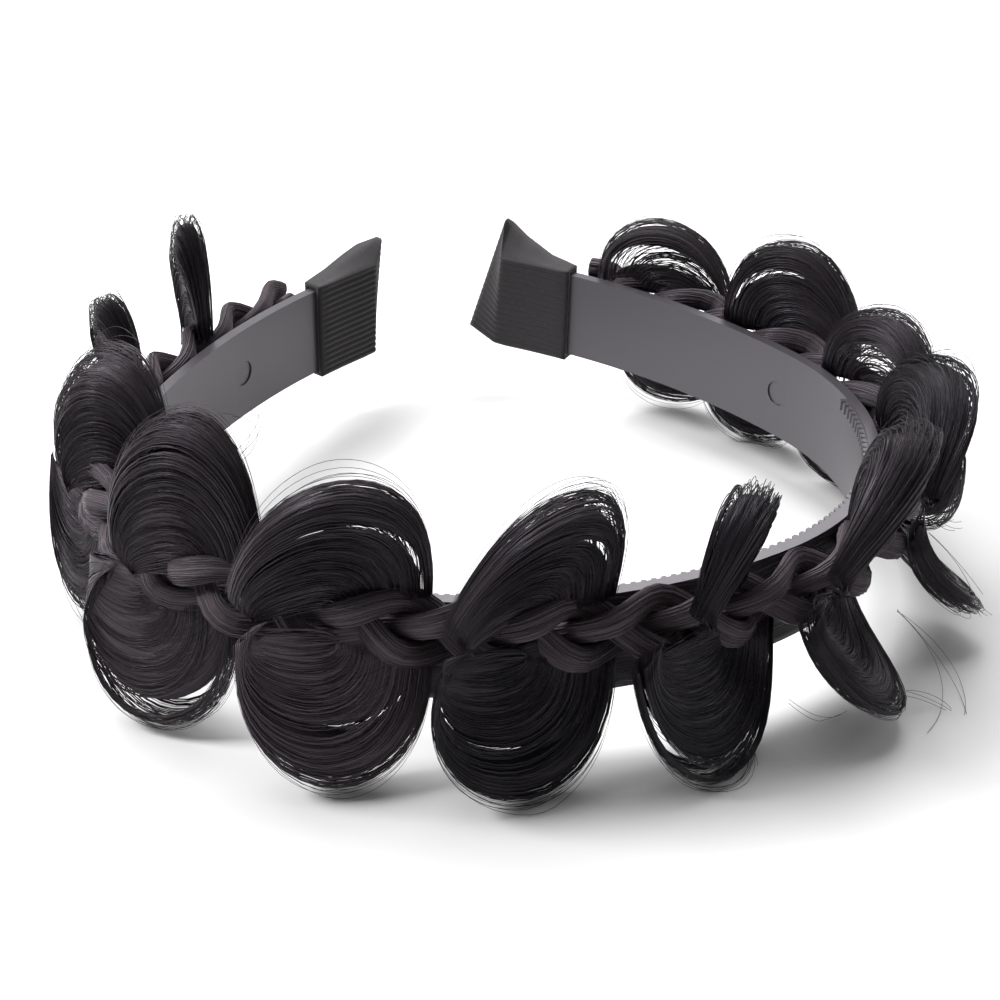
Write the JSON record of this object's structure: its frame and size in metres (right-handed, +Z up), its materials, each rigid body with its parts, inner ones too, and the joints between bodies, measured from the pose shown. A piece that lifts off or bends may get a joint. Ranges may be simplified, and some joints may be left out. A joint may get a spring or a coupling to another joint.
{
  "type": "braided hair headband",
  "caption": "Springy plastic headband hoop covered by a thin hair braid with puffed upper and lower loops of black synthetic hair and ribbon-wrapped tips.",
  "frame": {"origin": "centre of the footprint, on the surface that the lower hair loops rest on", "axes": "+X across the head, +Y from the crown towards the open tips, +Z up, square to the hoop's plane"},
  "size_m": [0.1806, 0.1612, 0.0621],
  "materials": {
    "plastic": "satin dark grey",
    "ribbon": "ribbed black ribbon",
    "braid_hair": "black synthetic hair",
    "loop_hair": "black synthetic hair"
  },
  "bodies": {
    "root": {"hoop": "plastic", "ribbon_left": "ribbon", "ribbon_right": "ribbon", "braid_strand_1": "braid_hair", "braid_strand_2": "braid_hair", "braid_strand_3": "braid_hair", "upper_loop_01": "loop_hair", "upper_loop_02": "loop_hair", "upper_loop_03": "loop_hair", "upper_loop_04": "loop_hair", "upper_loop_05": "loop_hair", "upper_loop_06": "loop_hair", "upper_loop_07": "loop_hair", "upper_loop_08": "loop_hair", "upper_loop_09": "loop_hair", "upper_loop_10": "loop_hair", "upper_loop_11": "loop_hair", "upper_loop_12": "loop_hair", "lower_loop_01": "loop_hair", "lower_loop_02": "loop_hair", "lower_loop_03": "loop_hair", "lower_loop_04": "loop_hair", "lower_loop_05": "loop_hair", "lower_loop_06": "loop_hair", "lower_loop_07": "loop_hair", "lower_loop_08": "loop_hair", "lower_loop_09": "loop_hair", "lower_loop_10": "loop_hair", "lower_loop_11": "loop_hair", "lower_loop_12": "loop_hair"}
  },
  "joints": []
}
